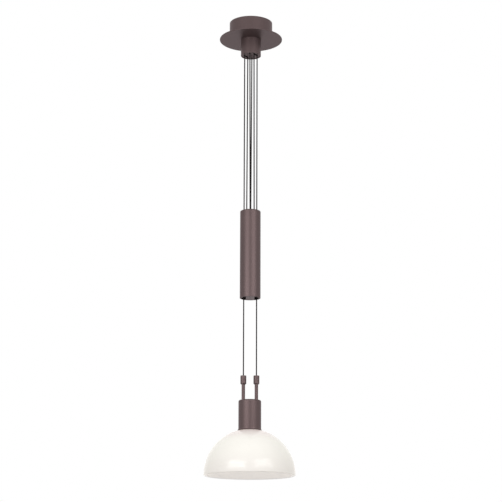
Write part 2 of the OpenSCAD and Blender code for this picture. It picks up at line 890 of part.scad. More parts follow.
module stem_left() {
    color(BRONZE) at([-cord_circle_r, 0]) difference() {
        union() {
            post(stem_r, cup_top_z, stem_top_z);
            post(spigot_r, stem_z, cup_top_z + overlap);
        }
        post(cord_hole_r, stem_z - eps, stem_top_z + eps);
        post(collet_r + touch, stem_top_z - collet_in, stem_top_z + eps);
    }
}

module stem_right() {
    rotate([0, 0, 180]) stem_left();
}

module stem_nuts() {
    color(STEEL) both_sides() at([-cord_circle_r, 0])
        hex_nut(stem_nut_af, spigot_r + touch, stem_nut_z, bracket_z);
}

// tube along a path of [x, z] points in the XZ plane, with a ring of corners at each point
module flat_path_tube(path, r, sides) {
    last = len(path) - 1;
    function along(i) = path[min(i + 1, last)] - path[max(i - 1, 0)];
    function across(i) = [along(i)[1], -along(i)[0]] / norm(along(i));
    corners = [
        for (i = [0 : last]) for (k = [0 : sides - 1])
            let (out = path[i] + across(i) * r * cos(k * 360 / sides))
                [out[0], r * sin(k * 360 / sides), out[1]]
    ];
    walls = [
        for (i = [0 : last - 1]) for (k = [0 : sides - 1])
            let (a = i * sides + k, b = i * sides + (k + 1) % sides)
                each [[a, a + sides, b], [b, a + sides, b + sides]]
    ];
    first_cap = [for (k = [1 : sides - 2]) [0, k, k + 1]];
    last_cap = [for (k = [1 : sides - 2]) [last * sides, last * sides + k + 1, last * sides + k]];
    polyhedron(corners, concat(walls, first_cap, last_cap));
}

// the cord goes on through collet and stem, then bends in and down to the lampholder
module lamp_tails() {
    steps = 12;
    top_z = stem_z - eps;
    low_z = holder_cap_z + eps;
    shift = cord_circle_r - lead_x;
    function sway(i) = -cord_circle_r + shift * (1 - cos(180 * i / steps)) / 2;
    path = concat(
        [[-cord_circle_r, tail_top_z]],
        [for (i = [0 : steps]) [sway(i), top_z + (low_z - top_z) * i / steps]],
        [[-lead_x, holder_top_z + terminal_up / 2]]
    );
    color(CORD) both_sides() flat_path_tube(path, cord_r, 8);
}

// ---- lamp head ----

// the flare leaves the cup's wall upright and runs out towards the lip in a quarter of an ellipse
function flare_x(t) = cup_r + (lip_r - cup_r) * (1 - sin(90 * t));
function flare_y(t) = lip_z + lip_edge + (flare_h - lip_edge) * (1 - cos(90 * t));

module lamp_cup() {
    e = cup_edge_r;
    color(BRONZE) difference() {
        rotate_extrude() {
            translate([0, lip_z + flare_h]) square([cup_r, cup_top_z - e - lip_z - flare_h]);
            translate([0, lip_z + flare_h]) square([cup_r - e, cup_h - flare_h]);
            translate([cup_r - e, cup_top_z - e]) circle(r = e, $fn = 64);
            polygon(concat(
                [[0, lip_z + flare_h + overlap], [0, lip_z], [lip_r, lip_z]],
                [for (i = [0 : flare_steps]) [flare_x(i / flare_steps), flare_y(i / flare_steps)]],
                [[cup_r, lip_z + flare_h + overlap]]
            ));
        }
        post(cup_r - cup_wall, lip_z - eps, cup_floor_z - e);
        translate([0, 0, lip_z]) cylinder(r1 = lip_in_r, r2 = cup_r - cup_wall, h = flare_h);
        post(cup_r - e, lip_z - eps, cup_floor_z);
        translate([0, 0, cup_floor_z - e]) rotate_extrude()
            intersection() {
                translate([cup_r - e, 0]) circle(r = e - cup_wall, $fn = 64);
                square([cup_r, e]);
            }
        both_sides() at([cord_circle_r, 0]) post(spigot_r + slip, cup_floor_z - eps, cup_top_z + eps);
    }
}

// flat bar with round ends under the cup's top, shaped like a filled slot
module holder_bracket() {
    length = 2 * (cord_circle_r + stem_nut_af / 2 + bar_end);
    color(STEEL) difference() {
        slot(length, holder_bracket_w, bracket_z, cup_floor_z);
        both_sides() at([cord_circle_r, 0]) post(spigot_r + slip, bracket_z - eps, cup_floor_z + eps);
        post(nipple_r + touch, bracket_z - eps, cup_floor_z + eps);
    }
}

module holder_nipple() {
    color(STEEL) ring(nipple_r, nipple_bore_r, holder_cap_z - nipple_in, cup_floor_z - touch);
}

module nipple_nut() {
    color(STEEL) hex_nut(nipple_nut_af, nipple_r + touch, bracket_z - nipple_nut_t, bracket_z);
}

module lampholder_cap() {
    color(BLACK) difference() {
        rotate_extrude() polygon([
            [0, holder_top_z], [holder_r, holder_top_z], [holder_r, holder_top_z + cap_h / 2],
            [holder_r - holder_wall, holder_cap_z - cap_shoulder], [cap_top_r, holder_cap_z],
            [0, holder_cap_z]
        ]);
        post(holder_r - holder_wall, holder_top_z - eps, holder_cap_z - cap_roof_t);
        post(nipple_r + touch, holder_top_z, holder_cap_z + eps);
        both_sides() at([lead_x, 0]) post(cord_hole_r, holder_top_z, holder_cap_z + eps);
    }
}

module lampholder_body() {
    color(BLACK) difference() {
        post(holder_r, holder_z, holder_top_z);
        post(holder_bore_r, holder_z - eps, holder_floor_z);
        post(holder_r - holder_wall, holder_top_z - terminal_deep, holder_top_z + eps);
    }
}

// spring tongue under the bulb's tip, and the two terminals above the floor
module holder_contacts() {
    color(BRASS) {
        post(bulb_tip_r, holder_floor_z - tongue_t, holder_floor_z);
        post(bulb_tip_r / 2, bulb_base_top_z + tip_gap, holder_floor_z - tongue_t / 2);
        both_sides() at([lead_x, 0])
            ring(cord_r + terminal_wall, cord_r + touch, holder_top_z - terminal_deep,
                holder_top_z + terminal_up);
    }
}

module shade_collar() {
    z0 = fitting_top_z + seat_gap;
    color(BLACK) {
        ring(holder_r + collar_brim, holder_r + touch, z0, z0 + collar_brim / 2);
        ring(holder_r + collar_brim / 2, holder_r + touch,
            z0 + collar_brim / 2 - overlap, z0 + collar_brim);
    }
}

module shade_ring() {
    color(BLACK) difference() {
        ring(ring_r, holder_r + touch, ring_z, ring_top_z);
        for (a = [0 : 30 : 330]) at(polar(ring_r + notch_r / 2, a))
            post(notch_r, ring_z - eps, ring_top_z - ring_brim_t);
    }
}

// wedge of rubber between the ring's flat top and the curve of the glass
module shade_gasket() {
    color(BLACK) rotate_extrude() intersection() {
        translate([fitting_r + slip, ring_top_z])
            square([ring_r - 1 - fitting_r - slip, glass_t]);
        translate([0, shade_z]) circle(r = shade_in_r - touch, $fn = 240);
    }
}

module glass_shade() {
    edge = glass_t / 2;
    color(OPAL) difference() {
        rotate_extrude($fn = 180) {
            intersection() {
                translate([0, shade_z]) difference() {
                    circle(r = shade_r, $fn = 240);
                    circle(r = shade_in_r, $fn = 240);
                }
                translate([0, shade_z]) square([shade_r, shade_r]);
            }
            translate([shade_in_r, rim_z + edge]) square([glass_t, shade_skirt + touch]);
            translate([shade_in_r + edge, rim_z + edge]) circle(r = edge, $fn = 48);
        }
        post(fitting_r, shade_z, shade_z + 2 * shade_r);
    }
}

// outline of the bulb's glass from its globe up into its base, drawn in by the wall's thickness
module bulb_outline(inset) {
    neck_in_r = bulb_base_r - bulb_wall - touch - inset;
    translate([0, bulb_z]) intersection() {
        circle(r = bulb_r - inset, $fn = 120);
        translate([0, -bulb_r]) square(2 * bulb_r);
    }
    polygon([
        [0, bulb_z], [0.95 * bulb_r - inset, bulb_z + 0.3 * bulb_r],
        [bulb_neck_r - inset, bulb_base_z - bulb_tip_r], [neck_in_r, bulb_base_z],
        [neck_in_r, bulb_base_z + bulb_in], [0, bulb_base_z + bulb_in]
    ]);
}

module bulb_glass() {
    color(OPAL) rotate_extrude() difference() {
        bulb_outline(0);
        bulb_outline(bulb_wall);
        translate([0, bulb_base_z]) square([bulb_base_r - 2 * bulb_wall - touch, bulb_in + eps]);
    }
}

// screw shell with its contact tip, open to the glass below
module bulb_base() {
    color(STEEL) rotate_extrude() difference() {
        base_outline(0);
        base_outline(bulb_wall);
        translate([0, bulb_base_z - eps]) square([bulb_base_r - bulb_wall, 2 * eps]);
    }
}

// outline of the base: a cup whose cone narrows to the tip, drawn in by the wall's thickness
module base_outline(inset) {
    wall_r = bulb_base_r - inset;
    polygon([
        [0, bulb_base_z], [wall_r, bulb_base_z], [wall_r, bulb_base_top_z - base_cone_h],
        [wall_r - base_cone_h / 2, bulb_base_top_z - base_cone_h / 3 - inset],
        [bulb_tip_r, bulb_base_top_z - 1 - inset], [bulb_tip_r, bulb_base_top_z - 2 * inset],
        [0, bulb_base_top_z - 2 * inset]
    ]);
}

ceiling_bracket();
inlet_grommet();
canopy_screws();
canopy_drum();
canopy_flange();
flange_nuts();
pulley_housing();
load_plate();
pulley_block();
block_screws();
rose_axle();
rose_axle_clips();
rose_sheave_left();
rose_sheave_right();
cord_ferrules();
end_plate();
end_plate_screw();
terminal_block();
terminal_sleeves();
terminal_screws();
weight_tube();
weight_yoke();
yoke_screws();
weight_axle();
weight_axle_clips();
axle_spacer();
weight_sheave_left();
weight_sheave_right();
weight_slug();
weight_end_cap();
end_cap_screws();
grip_nut_left();
grip_nut_right();
grip_collets();
stem_left();
stem_right();
stem_nuts();
lamp_cup();
holder_bracket();
holder_nipple();
nipple_nut();
lampholder_cap();
lampholder_body();
holder_contacts();
shade_collar();
shade_ring();
shade_gasket();
glass_shade();
bulb_glass();
bulb_base();
anchor_tails();
anchor_fall_left();
anchor_fall_right();
weight_bends();
return_fall_left();
return_fall_right();
rose_bends();
lamp_fall_left();
lamp_fall_right();
lamp_tails();
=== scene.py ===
import json
import math

import bmesh
import bpy
import numpy as np
from mathutils import Matrix, Vector
from mathutils.geometry import interpolate_bezier


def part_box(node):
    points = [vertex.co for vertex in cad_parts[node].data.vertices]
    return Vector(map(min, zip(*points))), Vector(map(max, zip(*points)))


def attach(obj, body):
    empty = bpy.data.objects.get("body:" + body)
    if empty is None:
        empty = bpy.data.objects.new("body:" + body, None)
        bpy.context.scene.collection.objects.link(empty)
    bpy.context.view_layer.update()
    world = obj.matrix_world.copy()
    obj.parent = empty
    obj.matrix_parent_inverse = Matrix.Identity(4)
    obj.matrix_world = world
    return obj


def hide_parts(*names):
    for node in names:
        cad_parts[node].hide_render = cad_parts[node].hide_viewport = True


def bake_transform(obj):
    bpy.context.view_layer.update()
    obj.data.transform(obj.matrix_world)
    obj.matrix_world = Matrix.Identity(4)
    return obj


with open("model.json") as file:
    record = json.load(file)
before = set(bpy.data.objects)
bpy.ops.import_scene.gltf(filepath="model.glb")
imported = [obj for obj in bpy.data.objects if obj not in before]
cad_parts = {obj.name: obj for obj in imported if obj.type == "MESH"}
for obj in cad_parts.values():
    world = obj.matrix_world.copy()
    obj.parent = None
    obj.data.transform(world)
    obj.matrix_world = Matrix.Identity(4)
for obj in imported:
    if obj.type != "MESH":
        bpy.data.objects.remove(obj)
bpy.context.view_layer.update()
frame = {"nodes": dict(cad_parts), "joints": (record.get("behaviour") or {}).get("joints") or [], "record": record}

# Looks of the rise and fall pendant. Metres, +Z up, origin at the ceiling.
# The two cords, the shade, the cup, the bulb's glass and its screw thread are drawn here, on
# the places that the frame gives. Every other piece keeps its own shape and gets its finish.

joints = {joint["name"]: joint for joint in frame["joints"]}
scene = bpy.context.scene

# Camera, from the fit to the photograph
CAMERA_PLACE = (0.002, -4.118, -1.679)
CAMERA_LENS = 107.9  # mm, on a frame 36 mm wide
CAMERA_TILT = 13.6  # degrees above level
CAMERA_ROLL = 0.003  # radians

# Cords
fall_low, fall_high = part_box("lamp_fall_left")
CORD_R = (fall_high.x - fall_low.x) / 2
CORD_SIDES = 12
BRAID_LAY = 0.009  # length of cord in which a strand goes once round
BRAID_STRANDS = 8  # each way
BEND_STEPS = 24  # rings round a pulley
FALL_STEP = 0.005  # between the rings of a fall
TAIL_STEP = 0.004  # between the rings of a tail's straight parts
END_STEP = 0.002  # between the rings next to a terminal
SWAY_STEPS = 14  # rings where a tail leans from its stem to the lampholder
POLE_PITCH = 0.008  # between the poles of the terminal block
TAIL_BEND_R = 0.007
TAIL_REACH = 0.0116  # from the upright part of a cord's tail into its terminal
TAIL_ROOM = 0.001  # left between the lampholder's cap, the leaning part and the stem
ASLANT = (0.3, 1.0, 0.2)  # any direction that a cord doesn't start in

# Lamp head
GLASS_LIP = 0.001  # rounding of the shade's fitting hole
GLASS_STEPS = 64  # up each side of the glass
CUP_EDGE_R = 0.004  # of the cup's rounded top
CUP_FLARE = 0.006  # height over which the cup's lip curls out
CUP_LIP_R = 0.0004  # of the lip's rolled edge
BULB_JOIN = 35.0  # degrees above its middle, where the bulb's head turns into its neck
THREAD_PITCH = 0.0036  # of the bulb's screw base
THREAD_BEAD = 0.0006  # radius of the thread's rounded crest

# Corners of a CAD node closer than this lie at the same place
NEAR = 0.0001

# Stage
WHITE = (1, 1, 1, 1)
ROOM_LIGHT = 0.30
FLOOR_Z = -3.2
FLOOR_REACH = 6.0
BOX_WIDTH = 1.8
BOX_AWAY = 2.2  # from the pendant's axis to each soft box
BOX_AIM = Vector((0, 0, -0.7))

# A fall is drawn in three stretches.
# Each is from and to, then where its blend starts and ends, in shares of the fall's length.
FALL_STRETCHES = (
    (0, 0.17, 0, 0.68),
    (0.17, 0.83, -0.16, 1.16),
    (0.83, 1, 0.32, 1),
)


# ---- camera ----


def set_camera():
    """The photograph's camera, fitted to the pendant: below it, looking up, with a long lens."""
    camera = bpy.data.objects.new("camera", bpy.data.cameras.new("camera"))
    scene.collection.objects.link(camera)
    camera.data.lens = CAMERA_LENS
    camera.data.sensor_width = 36
    camera.data.clip_start = 0.1
    camera.data.clip_end = 50
    camera.matrix_world = (
        Matrix.Translation(CAMERA_PLACE)
        @ Matrix.Rotation(math.radians(90 + CAMERA_TILT), 4, "X")
        @ Matrix.Rotation(CAMERA_ROLL, 4, "Z")
    )
    scene.camera = camera


# ---- node trees ----


class Value:
    """A socket that carries one number and takes part in sums."""

    def __init__(self, tree, socket):
        self.tree = tree
        self.socket = socket

    def __add__(self, other):
        return self.tree.math("ADD", self, other)

    def __radd__(self, other):
        return self.tree.math("ADD", other, self)

    def __sub__(self, other):
        return self.tree.math("SUBTRACT", self, other)

    def __rsub__(self, other):
        return self.tree.math("SUBTRACT", other, self)

    def __mul__(self, other):
        return self.tree.math("MULTIPLY", self, other)

    def __rmul__(self, other):
        return self.tree.math("MULTIPLY", other, self)

    def __truediv__(self, other):
        return self.tree.math("DIVIDE", self, other)

    def __rtruediv__(self, other):
        return self.tree.math("DIVIDE", other, self)

    def of(self, operation, *others):
        return self.tree.math(operation, self, *others)

    def between(self, low, high):
        """0 up to low, 1 from high on, and a soft step between them."""
        node = self.tree.add(
            "ShaderNodeMapRange",
            {"interpolation_type": "SMOOTHSTEP"},
            {"Value": self, "From Min": low, "From Max": high},
        )
        return Value(self.tree, node.outputs["Result"])


class Tree:
    """Adds nodes to a node tree."""

    def __init__(self, tree):
        self.tree = tree

    def put(self, socket, value):
        if isinstance(value, Value):
            value = value.socket
        if isinstance(value, bpy.types.NodeSocket):
            self.tree.links.new(value, socket)
        else:
            socket.default_value = value

    def add(self, kind, settings, inputs):
        node = self.tree.nodes.new(kind)
        for name, value in settings.items():
            setattr(node, name, value)
        for name, value in inputs.items():
            self.put(node.inputs[name], value)
        return node

    def math(self, operation, *values):
        node = self.add("ShaderNodeMath", {"operation": operation}, dict(enumerate(values)))
        return Value(self, node.outputs[0])

    def noise(self, place, scale, detail=2.0, roughness=0.5):
        node = self.add(
            "ShaderNodeTexNoise",
            {},
            {"Vector": place, "Scale": scale, "Detail": detail, "Roughness": roughness},
        )
        return Value(self, node.outputs[0])

    def cells(self, place, scale):
        """A random grey for each small cell."""
        node = self.add("ShaderNodeTexVoronoi", {}, {"Vector": place, "Scale": scale})
        split = self.add("ShaderNodeSeparateColor", {}, {"Color": node.outputs["Color"]})
        return Value(self, split.outputs[0])

    def axes(self, vector):
        node = self.add("ShaderNodeSeparateXYZ", {}, {"Vector": vector})
        return [Value(self, socket) for socket in node.outputs]

    def stretched(self, vector, scale):
        node = self.add(
            "ShaderNodeVectorMath", {"operation": "MULTIPLY"}, {0: vector, 1: scale}
        )
        return node.outputs[0]

    def mixed(self, share, first, second):
        """A colour or a number between two. The Mix node's sockets share names, so go by number."""
        if isinstance(first, (tuple, bpy.types.NodeSocket)):
            node = self.add(
                "ShaderNodeMix", {"data_type": "RGBA"}, {0: share, 6: first, 7: second}
            )
            return node.outputs[2]
        node = self.add(
            "ShaderNodeMix", {"data_type": "FLOAT"}, {0: share, 2: first, 3: second}
        )
        return Value(self, node.outputs[0])

    def seen_rays(self):
        """1 for what the camera sees, also through a reflection or glass."""
        ray = self.add("ShaderNodeLightPath", {}, {}).outputs
        seen = self.math("MAXIMUM", ray["Is Camera Ray"], ray["Is Glossy Ray"])
        return seen.of("MAXIMUM", ray["Is Transmission Ray"])

    def bump(self, height, depth):
        node = self.add("ShaderNodeBump", {}, {"Height": height, "Distance": depth})
        return node.outputs[0]


class Finish(Tree):
    """A material with one Principled surface."""

    def __init__(self, name):
        self.material = bpy.data.materials.new(name)
        self.material.use_nodes = True
        super().__init__(self.material.node_tree)
        self.surface = self.tree.nodes["Principled BSDF"]
        where = self.add("ShaderNodeTexCoord", {}, {})
        self.place = where.outputs["Object"]
        self.uv = where.outputs["UV"]

    def set(self, inputs):
        for name, value in inputs.items():
            self.put(self.surface.inputs[name], value)
        return self.material

    def blended(self, share, first, second):
        """A surface between those of two nodes."""
        shaders = {1: first.outputs[0], 2: second.outputs[0]}
        return self.add("ShaderNodeMixShader", {}, {0: share, **shaders})

    def facing_up(self):
        """1 where the surface lies level and looks up, where dust settles."""
        normal = self.add("ShaderNodeNewGeometry", {}, {}).outputs["Normal"]
        return self.axes(normal)[2].between(0.6, 1.0)


def colour(red, green, blue):
    """An 8-bit screen colour as the linear one that a socket takes."""

    def linear(part):
        part /= 255
        return part / 12.92 if part <= 0.04045 else ((part + 0.055) / 1.055) ** 2.4

    return (linear(red), linear(green), linear(blue), 1.0)


# ---- finishes ----


def bronze_paint():
    """Satin bronze paint: a fine orange peel, a dull flake, and a little dust on top."""
    f = Finish("bronze_paint")
    cloud = f.noise(f.place, 14.0, detail=3.0)
    flake = f.cells(f.place, 2600.0)
    dust = f.facing_up() * f.noise(f.place, 90.0, detail=4.0)
    paint = f.mixed(cloud, colour(90, 76, 76), colour(98, 83, 83))
    paint = f.mixed(flake.between(0.82, 1.0) * 0.25, paint, colour(130, 112, 106))
    paint = f.mixed(dust * 0.25, paint, colour(150, 144, 138))
    peel = f.noise(f.place, 900.0, detail=1.0)
    return f.set(
        {
            "Base Color": paint,
            "Metallic": 0.6 - dust * 0.4,
            "Roughness": 0.4 + cloud * 0.05 + dust * 0.25,
            "Specular IOR Level": 0.3,
            "Specular Tint": (0.8, 0.73, 0.75, 1.0),
            "Normal": f.bump(peel, depth=0.00004),
        }
    )


def plated_steel():
    """Zinc plate over drawn steel: faint draw lines and a cloudy blue-grey."""
    f = Finish("plated_steel")
    cloud = f.noise(f.place, 60.0, detail=3.0)
    lines = f.noise(f.stretched(f.place, (1, 1, 18)), 420.0)
    plate = f.mixed(cloud, colour(176, 178, 184), colour(196, 195, 192))
    return f.set(
        {
            "Base Color": f.mixed(lines * 0.4, plate, colour(140, 143, 148)),
            "Metallic": 1.0,
            "Roughness": 0.24 + lines * 0.18,
            "Normal": f.bump(lines, depth=0.00002),
        }
    )


def die_cast_zinc():
    """Die-cast zinc, as cast: a soft pebbled skin with darker flow marks."""
    f = Finish("die_cast_zinc")
    flow = f.noise(f.stretched(f.place, (1, 1, 0.4)), 75.0, detail=5.0, roughness=0.6)
    pebble = f.noise(f.place, 1300.0)
    return f.set(
        {
            "Base Color": f.mixed(flow, colour(128, 130, 134), colour(168, 168, 168)),
            "Metallic": 0.9,
            "Roughness": 0.42 + flow * 0.2,
            "Normal": f.bump(pebble + flow, depth=0.00006),
        }
    )


def spring_steel():
    """Tempered spring steel, straw to blue in patches."""
    f = Finish("spring_steel")
    temper = f.noise(f.place, 130.0, detail=3.0)
    return f.set(
        {
            "Base Color": f.mixed(temper, colour(92, 86, 80), colour(72, 78, 92)),
            "Metallic": 1.0,
            "Roughness": 0.3 + temper * 0.15,
        }
    )


def brass():
    """Turned brass: tool rings up its length, and a little tarnish."""
    f = Finish("brass")
    rings = f.noise(f.stretched(f.place, (0.02, 0.02, 1)), 2600.0, detail=1.0)
    tarnish = f.noise(f.place, 110.0, detail=4.0).between(0.45, 0.75)
    metal = f.mixed(rings * 0.3, colour(214, 178, 108), colour(176, 140, 78))
    return f.set(
        {
            "Base Color": f.mixed(tarnish * 0.5, metal, colour(120, 92, 56)),
            "Metallic": 1.0,
            "Roughness": 0.22 + tarnish * 0.25,
            "Normal": f.bump(rings, depth=0.00002),
        }
    )


def cast_iron():
    """The slug: rough cast iron under thin black oil."""
    f = Finish("cast_iron")
    sand = f.noise(f.place, 520.0, detail=5.0, roughness=0.65)
    rust = f.noise(f.place, 48.0, detail=6.0, roughness=0.7).between(0.62, 0.8)
    iron = f.mixed(sand, colour(44, 44, 46), colour(82, 80, 80))
    return f.set(
        {
            "Base Color": f.mixed(rust * 0.6, iron, colour(104, 62, 42)),
            "Metallic": 0.6,
            "Roughness": 0.5 + sand * 0.3,
            "Normal": f.bump(sand, depth=0.0003),
        }
    )


def nylon():
    """Moulded nylon pulleys: milky, a touch of grain, darker in soft clouds."""
    f = Finish("nylon")
    grain = f.noise(f.place, 800.0)
    shade = f.noise(f.place, 40.0)
    return f.set(
        {
            "Base Color": f.mixed(shade, colour(226, 222, 210), colour(206, 202, 190)),
            "Roughness": 0.36 + grain * 0.16,
            "Subsurface Weight": 0.12,
            "Subsurface Radius": (0.002, 0.0018, 0.0014),
            "Normal": f.bump(grain, depth=0.00003),
        }
    )


def porcelain():
    """The lampholder's glazed porcelain, with a few pin specks."""
    f = Finish("porcelain")
    specks = f.cells(f.place, 700.0).between(0.985, 1.0)
    pool = f.noise(f.place, 55.0)
    glaze = f.mixed(pool, colour(238, 234, 222), colour(228, 222, 208))
    return f.set(
        {
            "Base Color": f.mixed(specks * 0.7, glaze, colour(120, 100, 80)),
            "Roughness": 0.16 + pool * 0.1,
            "Coat Weight": 0.6,
            "Coat Roughness": 0.06,
            "Normal": f.bump(pool, depth=0.0002),
        }
    )


def black_plastic():
    """Moulded black plastic with a fine spark grain."""
    f = Finish("black_plastic")
    grain = f.noise(f.place, 1900.0, detail=1.0)
    wear = f.noise(f.place, 70.0, detail=4.0).between(0.5, 0.8)
    return f.set(
        {
            "Base Color": f.mixed(wear * 0.4, colour(30, 30, 31), colour(62, 61, 60)),
            "Roughness": 0.4 + grain * 0.2,
            "Normal": f.bump(grain, depth=0.00005),
        }
    )


def black_rubber():
    """Soft black rubber with a grey bloom."""
    f = Finish("black_rubber")
    bloom = f.noise(f.place, 120.0, detail=4.0).between(0.4, 0.8)
    grain = f.noise(f.place, 1500.0)
    return f.set(
        {
            "Base Color": f.mixed(bloom * 0.5, colour(26, 26, 26), colour(70, 68, 66)),
            "Roughness": 0.72 + bloom * 0.15,
            "Normal": f.bump(grain, depth=0.00005),
        }
    )


def opal_glass(name, centre, outside):
    """Opal glass with a painted glow: its emission stands in for the bulb's light through the glass, brightest
    beside the bulb, warmer and dimmer under the cup and at the rim.
    """
    f = Finish(name)
    milk = f.noise(f.place, 16.0, detail=3.0)
    drop = (f.axes(f.place)[2] - centre) * -1  # metres below the half-round's middle
    # painted shade: the glow is dimmer and warmer under the cup, where its shadow falls
    shoulder = drop.between(-0.118, -0.086)  # clear of the cup's shadow
    rim = drop.between(-0.07, 0.0)
    body = f.mixed(milk, colour(243, 241, 240), colour(239, 237, 236))
    # painted glow from the bulb: outside, brightest beside it and dimmer towards the rim; inside, brighter near it
    # and dimmer at the rim
    if outside:
        glow = f.mixed(shoulder, colour(128, 110, 102), colour(141, 138, 124))
        glow = f.mixed(rim, glow, colour(132, 125, 113))
    else:
        glow = f.mixed(rim, colour(148, 144, 140), colour(131, 129, 127))
    return f.set(
        {
            "Base Color": body,
            "Roughness": 0.12 + milk * 0.08,
            "Specular IOR Level": 0.3,
            "Coat Weight": 0.1,
            "Coat Roughness": 0.05,
            "Emission Color": glow,
            "Emission Strength": 1.0,
            "Normal": f.bump(milk, depth=0.0006),
        }
    )


def frosted_bulb(middle, reach):
    """The lit bulb: even frost, hotter round its middle."""
    f = Finish("frosted_bulb")
    frost = f.noise(f.place, 2200.0, detail=1.0)
    away = (f.axes(f.place)[2] - middle).of("ABSOLUTE") / reach
    glow = f.mixed(away.between(0.2, 1.2), colour(255, 250, 236), colour(255, 226, 184))
    return f.set(
        {
            "Base Color": f.mixed(frost, colour(244, 242, 236), colour(234, 232, 226)),
            "Roughness": 0.5 + frost * 0.1,
            "Emission Color": glow,
            "Emission Strength": 0.9,
        }
    )


def bulb_metal():
    """The bulb's screw base: bare aluminium, rubbed along the thread."""
    f = Finish("bulb_metal")
    rub = f.noise(f.stretched(f.place, (1, 1, 6)), 300.0, detail=3.0)
    return f.set(
        {
            "Base Color": f.mixed(rub, colour(190, 190, 190), colour(216, 215, 212)),
            "Metallic": 1.0,
            "Roughness": 0.26 + rub * 0.2,
        }
    )


def braided_cord():
    """Braided sleeve: strands run both ways round the cord and pass over and under each other."""
    f = Finish("braided_cord")
    around, along, _ = f.axes(f.uv)
    lay = along * (BRAID_STRANDS / BRAID_LAY)
    one_way = around * BRAID_STRANDS + lay
    other_way = around * BRAID_STRANDS - lay
    on_top = (one_way.of("FLOOR") + other_way.of("FLOOR")).of("MODULO", 2.0).of("ABSOLUTE")
    ridge = f.mixed(
        on_top,
        (one_way.of("FRACT") * math.pi).of("SINE"),
        (other_way.of("FRACT") * math.pi).of("SINE"),
    )
    fibre = f.noise(f.place, 5200.0)
    yarn = f.mixed(fibre, colour(42, 39, 39), colour(60, 56, 55))
    return f.set(
        {
            # painted shade: the low grooves between the strands are coloured near black
            "Base Color": f.mixed(ridge.between(0.0, 0.6), colour(16, 14, 14), yarn),
            "Roughness": 0.7 + fibre * 0.15,
            "Specular IOR Level": 0.05,
            "Normal": f.bump(ridge + fibre * 0.3, depth=0.00018),
        }
    )


# ---- forms ----


def corners(node):
    """Radius and height of every vertex of a CAD node."""
    places = np.array([v.co for v in frame["nodes"][node].data.vertices])
    return np.hypot(places[:, 0], places[:, 1]), places[:, 2]


def outward(mesh, sharp):
    """Faces look outward and shade smoothly, except over edges sharper than that angle."""
    work = bmesh.new()
    work.from_mesh(mesh)
    bmesh.ops.recalc_face_normals(work, faces=work.faces)
    work.to_mesh(mesh)
    work.free()
    mesh.shade_smooth()
    mesh.set_sharp_from_angle(angle=math.radians(sharp))


def new_piece(name, mesh, body, slot, *nodes):
    """Adds a piece in place of CAD nodes and hides them. One without a body stays unparented."""
    piece = bpy.data.objects.new(name, mesh)
    scene.collection.objects.link(piece)
    if body:
        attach(piece, body)
    if nodes:
        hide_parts(*nodes)
    return piece


def node_group(name, *inputs):
    """An empty Geometry Nodes tree with a geometry in and out and the named inputs."""
    tree = bpy.data.node_groups.new(name, "GeometryNodeTree")
    for label, kind in (("Geometry", "Geometry"), *inputs, ("Material", "Material")):
        tree.interface.new_socket(label, in_out="INPUT", socket_type="NodeSocket" + kind)
    tree.interface.new_socket("Geometry", in_out="OUTPUT", socket_type="NodeSocketGeometry")
    return Tree(tree), tree.nodes.new("NodeGroupInput").outputs


def close_group(t, given, geometry):
    """Ends a tree: its geometry made real, all in one material."""
    real = t.add("GeometryNodeRealizeInstances", {}, {0: geometry})
    clad = t.add(
        "GeometryNodeSetMaterial", {}, {"Geometry": real.outputs[0], "Material": given["Material"]}
    )
    end = t.tree.nodes.new("NodeGroupOutput")
    t.put(end.inputs[0], clad.outputs[0])
    return t.tree


def turned_form():
    """Turns an outline about Z. The outline lies in XY: radius less one metre, and depth."""
    t, given = node_group("turned_form", ("Segments", "Int"))
    outline = t.add("GeometryNodeMeshToCurve", {}, {"Mesh": given["Geometry"]})
    circle = t.add(
        "GeometryNodeCurvePrimitiveCircle",
        {"mode": "RADIUS"},
        {"Resolution": given["Segments"], "Radius": 1.0},
    )
    skin = t.add(
        "GeometryNodeCurveToMesh",
        {},
        {"Curve": circle.outputs[0], "Profile Curve": outline.outputs[0]},
    )
    shut = t.add(
        "GeometryNodeMergeByDistance", {}, {"Geometry": skin.outputs[0], "Distance": 0.00001}
    )
    return close_group(t, given, shut.outputs[0])


def screw_thread():
    """A thread's crest as one rounded rod wound about Z, from Base upwards."""
    t, given = node_group(
        "screw_thread",
        ("Radius", "Float"),
        ("Pitch", "Float"),
        ("Turns", "Float"),
        ("Depth", "Float"),
        ("Base", "Vector"),
    )
    turns = Value(t, given["Turns"])
    coil = t.add(
        "GeometryNodeCurveSpiral",
        {},
        {
            "Resolution": 40,
            "Rotations": turns,
            "Start Radius": given["Radius"],
            "End Radius": given["Radius"],
            "Height": turns * given["Pitch"],
        },
    )
    crest = t.add(
        "GeometryNodeCurvePrimitiveCircle",
        {"mode": "RADIUS"},
        {"Resolution": 8, "Radius": given["Depth"]},
    )
    rod = t.add(
        "GeometryNodeCurveToMesh",
        {},
        {"Curve": coil.outputs[0], "Profile Curve": crest.outputs[0], "Fill Caps": True},
    )
    placed = t.add(
        "GeometryNodeTransform", {}, {"Geometry": rod.outputs[0], "Translation": given["Base"]}
    )
    return close_group(t, given, placed.outputs[0])


def realised(name, start, group, values):
    """Runs a tree on a starting mesh and returns what comes out as a plain mesh."""
    seed = bpy.data.objects.new(name + "_seed", start)
    scene.collection.objects.link(seed)
    modifier = seed.modifiers.new(group.name, "NODES")
    modifier.node_group = group
    for item in group.interface.items_tree:
        if item.in_out == "INPUT" and item.name in values:
            modifier[item.identifier] = values[item.name]
    graph = bpy.context.evaluated_depsgraph_get()
    mesh = bpy.data.meshes.new_from_object(seed.evaluated_get(graph))
    bpy.data.objects.remove(seed)
    mesh.name = name
    return mesh


